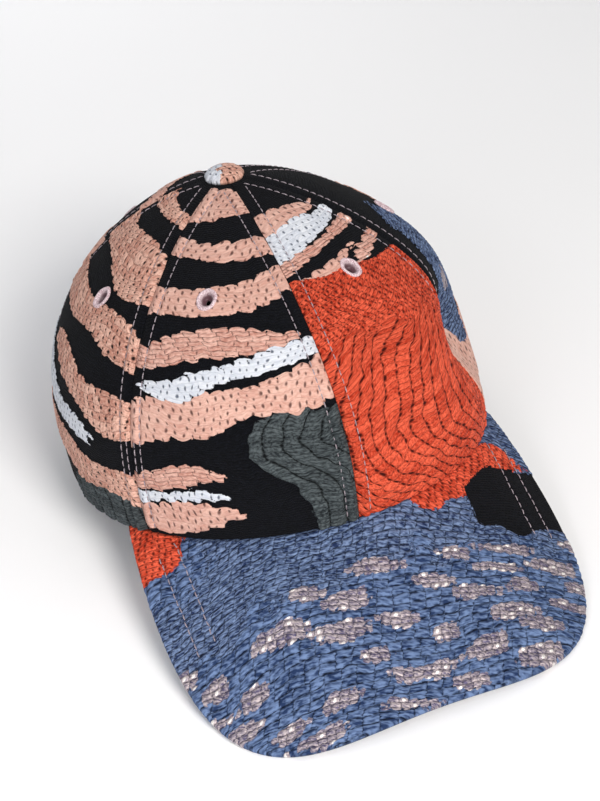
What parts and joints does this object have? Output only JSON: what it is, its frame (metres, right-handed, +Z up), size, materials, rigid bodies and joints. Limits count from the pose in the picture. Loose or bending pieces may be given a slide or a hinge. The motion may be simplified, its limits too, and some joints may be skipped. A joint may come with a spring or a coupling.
{
  "type": "six-panel baseball cap",
  "caption": "Soft rounded cap of sewn cloth gores with a covered button, sewn eyelets and a stiff curved brim, lying on a flat surface.",
  "frame": {"origin": "under the middle of the cap, on the surface that it lies on", "axes": "+Y towards the back of the cap, so the brim points to -Y; +X towards the wearer's left; +Z up from the surface"},
  "size_m": [0.1874, 0.2702, 0.1274],
  "materials": {
    "orange_jacquard": "thick woven jacquard with small raised cells and dark ticks",
    "banded_jacquard": "thick woven jacquard, pale pink, white and black bands",
    "dark_jacquard": "fine black twill ground of the same cloth with blue and pink fields",
    "blue_jacquard": "blue woven cells with dark outlines and patches of metallic yarn",
    "button_cloth": "cloth-covered button, pale pink and white with dark dots",
    "eyelet_thread": "satin-stitched thread"
  },
  "bodies": {
    "root": {"panel_front_left": "orange_jacquard", "panel_side_left": "dark_jacquard", "panel_back_left": "dark_jacquard", "panel_back_right": "dark_jacquard", "panel_side_right": "banded_jacquard", "panel_front_right": "banded_jacquard", "brim": "blue_jacquard", "button": "button_cloth", "eyelet_front_left": "eyelet_thread", "eyelet_front_right": "eyelet_thread", "eyelet_side_left": "eyelet_thread", "eyelet_side_right": "eyelet_thread", "eyelet_back_left": "eyelet_thread", "eyelet_back_right": "eyelet_thread"}
  },
  "joints": []
}
